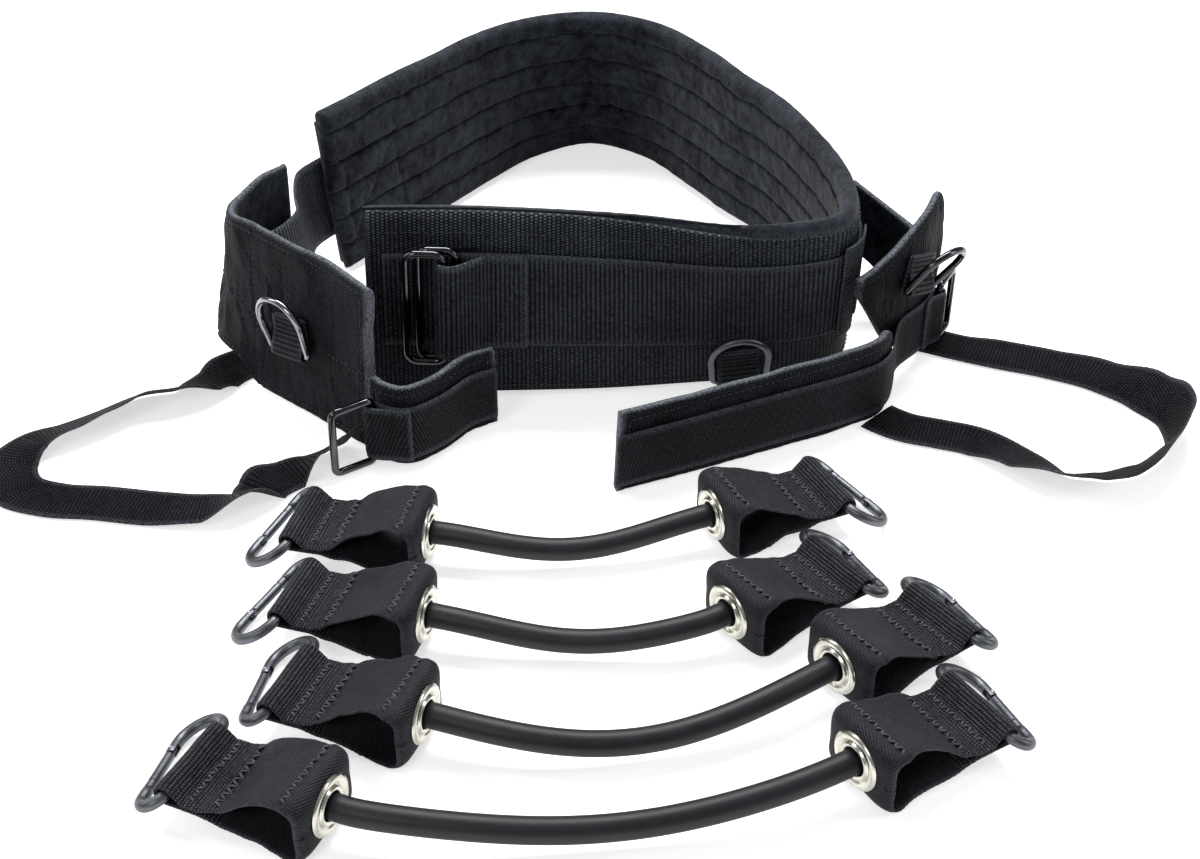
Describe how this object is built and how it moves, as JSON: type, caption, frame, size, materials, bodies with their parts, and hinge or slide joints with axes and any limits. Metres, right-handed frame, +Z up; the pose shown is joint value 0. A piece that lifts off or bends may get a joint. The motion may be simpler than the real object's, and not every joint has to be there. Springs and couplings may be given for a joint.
{
  "type": "jump training resistance belt",
  "caption": "Padded waist belt with a ring buckle, foot harnesses with under-foot loops, and rubber resistance bands that clip on by snap hooks, laid out on a floor.",
  "frame": {"origin": "centre of the kit's footprint on the floor, measured without the rubber tubes", "axes": "+Z up; +X along the belt's front towards the wearer's left hand side as laid out, away from the buckle; +Y from the belt's front to its back; the bands lie towards -Y"},
  "size_m": [0.5624, 0.5976, 0.1004],
  "materials": {
    "felt_lining": "matt needled felt",
    "nylon_webbing": "woven, slight sheen",
    "black_steel": "gloss black",
    "gunmetal_steel": "plated gunmetal",
    "nickel": "bright nickel",
    "band_rubber": "satin"
  },
  "bodies": {
    "belt": {"belt_pad": "felt_lining", "belt_cover": "nylon_webbing", "belt_strap": "nylon_webbing", "belt_tail_strap": "nylon_webbing", "belt_d_ring_tab": "nylon_webbing", "belt_d_ring_far_tab": "nylon_webbing"},
    "buckle_rings": {"buckle_ring_front": "black_steel", "buckle_ring_rear": "black_steel"},
    "belt_d_ring": {"belt_d_ring": "black_steel"},
    "belt_d_ring_far": {"belt_d_ring_far": "black_steel"},
    "harness_left": {"harness_left_cuff": "felt_lining", "harness_left_foot_band": "felt_lining", "harness_left_band_overlay": "nylon_webbing", "harness_left_d_ring_tab": "nylon_webbing", "harness_left_stirrup": "nylon_webbing"},
    "harness_left_d_ring": {"harness_left_d_ring": "black_steel"},
    "harness_left_loop_ring": {"harness_left_loop_ring": "black_steel"},
    "harness_right": {"harness_right_cuff": "felt_lining", "harness_right_foot_band": "felt_lining", "harness_right_band_overlay": "nylon_webbing", "harness_right_d_ring_tab": "nylon_webbing", "harness_right_stirrup": "nylon_webbing"},
    "harness_right_d_ring": {"harness_right_d_ring": "black_steel"},
    "harness_right_loop_ring": {"harness_right_loop_ring": "black_steel"},
    "band_1": {"band_1_tube": "band_rubber", "band_1_sleeve_left": "nylon_webbing", "band_1_grommet_left": "nickel", "band_1_sleeve_right": "nylon_webbing", "band_1_grommet_right": "nickel"},
    "band_1_hook_left": {"band_1_hook_left": "gunmetal_steel"},
    "band_1_gate_left": {"band_1_gate_left": "gunmetal_steel"},
    "band_1_hook_right": {"band_1_hook_right": "gunmetal_steel"},
    "band_1_gate_right": {"band_1_gate_right": "gunmetal_steel"},
    "band_2": {"band_2_tube": "band_rubber", "band_2_sleeve_left": "nylon_webbing", "band_2_grommet_left": "nickel", "band_2_sleeve_right": "nylon_webbing", "band_2_grommet_right": "nickel"},
    "band_2_hook_left": {"band_2_hook_left": "gunmetal_steel"},
    "band_2_gate_left": {"band_2_gate_left": "gunmetal_steel"},
    "band_2_hook_right": {"band_2_hook_right": "gunmetal_steel"},
    "band_2_gate_right": {"band_2_gate_right": "gunmetal_steel"},
    "band_3": {"band_3_tube": "band_rubber", "band_3_sleeve_left": "nylon_webbing", "band_3_grommet_left": "nickel", "band_3_sleeve_right": "nylon_webbing", "band_3_grommet_right": "nickel"},
    "band_3_hook_left": {"band_3_hook_left": "gunmetal_steel"},
    "band_3_gate_left": {"band_3_gate_left": "gunmetal_steel"},
    "band_3_hook_right": {"band_3_hook_right": "gunmetal_steel"},
    "band_3_gate_right": {"band_3_gate_right": "gunmetal_steel"},
    "band_4": {"band_4_tube": "band_rubber", "band_4_sleeve_left": "nylon_webbing", "band_4_grommet_left": "nickel", "band_4_sleeve_right": "nylon_webbing", "band_4_grommet_right": "nickel"},
    "band_4_hook_left": {"band_4_hook_left": "gunmetal_steel"},
    "band_4_gate_left": {"band_4_gate_left": "gunmetal_steel"},
    "band_4_hook_right": {"band_4_hook_right": "gunmetal_steel"},
    "band_4_gate_right": {"band_4_gate_right": "gunmetal_steel"}
  },
  "joints": [
    {"name": "buckle_swing", "type": "hinge", "parent": "belt", "child": "buckle_rings", "pos_m": [-0.0676, -0.0069, 0.05491], "axis": [0.0314, -0.0007, 0.9995], "range_deg": [-4, 80]},
    {"name": "belt_d_ring_swing", "type": "hinge", "parent": "belt", "child": "belt_d_ring", "pos_m": [0.07045, 0.00869, 0.00548], "axis": [0.994, 0.0799, 0.0741], "range_deg": [-2, 85]},
    {"name": "belt_d_ring_far_swing", "type": "hinge", "parent": "belt", "child": "belt_d_ring_far", "pos_m": [-0.06154, 0.26125, 0.00841], "axis": [-0.5756, -0.7921, -0.2031], "range_deg": [-2, 85]},
    {"name": "harness_left_lift", "type": "slide", "parent": "belt", "child": "harness_left", "axis": [0, 0, 1], "range_m": [0, 0.15]},
    {"name": "harness_left_d_ring_swing", "type": "hinge", "parent": "harness_left", "child": "harness_left_d_ring", "pos_m": [-0.14344, -0.01374, 0.03467], "axis": [0.7612, -0.636, 0.127], "range_deg": [-6, 100]},
    {"name": "harness_left_loop_ring_swing", "type": "hinge", "parent": "harness_left", "child": "harness_left_loop_ring", "pos_m": [-0.10115, -0.05585, 0.01869], "axis": [0.0237, -0.0199, 0.9995], "range_deg": [0, 45]},
    {"name": "harness_right_lift", "type": "slide", "parent": "belt", "child": "harness_right", "axis": [0, 0, 1], "range_m": [0, 0.15]},
    {"name": "harness_right_d_ring_swing", "type": "hinge", "parent": "harness_right", "child": "harness_right_d_ring", "pos_m": [0.15651, 0.02304, 0.04798], "axis": [0.6344, 0.7253, -0.2675], "range_deg": [-14, 90]},
    {"name": "harness_right_loop_ring_swing", "type": "hinge", "parent": "harness_right", "child": "harness_right_loop_ring", "pos_m": [0.17217, 0.0467, 0.02], "axis": [0, 0, 1], "range_deg": [-100, 0]},
    {"name": "band_1_lift", "type": "slide", "parent": "belt", "child": "band_1", "axis": [0, 0, 1], "range_m": [0, 0.15]},
    {"name": "band_1_hook_left_turn", "type": "hinge", "parent": "band_1", "child": "band_1_hook_left", "pos_m": [-0.12561, -0.11324, 0.012], "axis": [0.213, 0.977, 0], "range_deg": [0, 120]},
    {"name": "band_1_gate_left_open", "type": "hinge", "parent": "band_1_hook_left", "child": "band_1_gate_left", "pos_m": [-0.1434, -0.11895, 0.00321], "axis": [0.4665, -0.1017, -0.8786], "range_deg": [0, 16], "stiffness_Nm_per_rad": 0.02},
    {"name": "band_1_hook_right_turn", "type": "hinge", "parent": "band_1", "child": "band_1_hook_right", "pos_m": [0.10239, -0.08925, 0.012], "axis": [0.4147, -0.91, 0], "range_deg": [0, 120]},
    {"name": "band_1_gate_right_open", "type": "hinge", "parent": "band_1_hook_right", "child": "band_1_gate_right", "pos_m": [0.12098, -0.09107, 0.00321], "axis": [0.4345, 0.198, 0.8786], "range_deg": [0, 16], "stiffness_Nm_per_rad": 0.02},
    {"name": "band_2_lift", "type": "slide", "parent": "belt", "child": "band_2", "axis": [0, 0, 1], "range_m": [0, 0.15]},
    {"name": "band_2_hook_left_turn", "type": "hinge", "parent": "band_2", "child": "band_2_hook_left", "pos_m": [-0.12167, -0.16376, 0.012], "axis": [0.284, 0.9588, 0], "range_deg": [0, 120]},
    {"name": "band_2_gate_left_open", "type": "hinge", "parent": "band_2_hook_left", "child": "band_2_gate_left", "pos_m": [-0.13983, -0.16816, 0.00321], "axis": [0.4578, -0.1356, -0.8786], "range_deg": [0, 16], "stiffness_Nm_per_rad": 0.02},
    {"name": "band_2_hook_right_turn", "type": "hinge", "parent": "band_2", "child": "band_2_hook_right", "pos_m": [0.10035, -0.14555, 0.012], "axis": [0.5664, -0.8241, 0], "range_deg": [0, 120]},
    {"name": "band_2_gate_right_open", "type": "hinge", "parent": "band_2_hook_right", "child": "band_2_gate_right", "pos_m": [0.10836, -0.12868, 0.00321], "axis": [-0.3935, -0.2705, -0.8786], "range_deg": [0, 16], "stiffness_Nm_per_rad": 0.02},
    {"name": "band_3_lift", "type": "slide", "parent": "belt", "child": "band_3", "axis": [0, 0, 1], "range_m": [0, 0.15]},
    {"name": "band_3_hook_left_turn", "type": "hinge", "parent": "band_3", "child": "band_3_hook_left", "pos_m": [-0.11586, -0.21651, 0.012], "axis": [0.3453, 0.9385, 0], "range_deg": [0, 120]},
    {"name": "band_3_gate_left_open", "type": "hinge", "parent": "band_3_hook_left", "child": "band_3_gate_left", "pos_m": [-0.12779, -0.20214, 0.00321], "axis": [-0.4481, 0.1649, 0.8786], "range_deg": [0, 16], "stiffness_Nm_per_rad": 0.02},
    {"name": "band_3_hook_right_turn", "type": "hinge", "parent": "band_3", "child": "band_3_hook_right", "pos_m": [0.13895, -0.17756, 0.012], "axis": [0.5779, -0.8161, 0], "range_deg": [0, 120]},
    {"name": "band_3_gate_right_open", "type": "hinge", "parent": "band_3_hook_right", "child": "band_3_gate_right", "pos_m": [0.14673, -0.16057, 0.00321], "axis": [-0.3897, -0.2759, -0.8786], "range_deg": [0, 16], "stiffness_Nm_per_rad": 0.02},
    {"name": "band_4_lift", "type": "slide", "parent": "belt", "child": "band_4", "axis": [0, 0, 1], "range_m": [0, 0.15]},
    {"name": "band_4_hook_left_turn", "type": "hinge", "parent": "band_4", "child": "band_4_hook_left", "pos_m": [-0.14445, -0.26018, 0.012], "axis": [0.3939, 0.9191, 0], "range_deg": [0, 120]},
    {"name": "band_4_gate_left_open", "type": "hinge", "parent": "band_4_hook_left", "child": "band_4_gate_left", "pos_m": [-0.15561, -0.2452, 0.00321], "axis": [-0.4389, 0.1881, 0.8786], "range_deg": [0, 16], "stiffness_Nm_per_rad": 0.02},
    {"name": "band_4_hook_right_turn", "type": "hinge", "parent": "band_4", "child": "band_4_hook_right", "pos_m": [0.14322, -0.23164, 0.012], "axis": [0.5135, -0.8581, 0], "range_deg": [0, 120]},
    {"name": "band_4_gate_right_open", "type": "hinge", "parent": "band_4_hook_right", "child": "band_4_gate_right", "pos_m": [0.15227, -0.2153, 0.00321], "axis": [-0.4097, -0.2452, -0.8786], "range_deg": [0, 16], "stiffness_Nm_per_rad": 0.02}
  ]
}
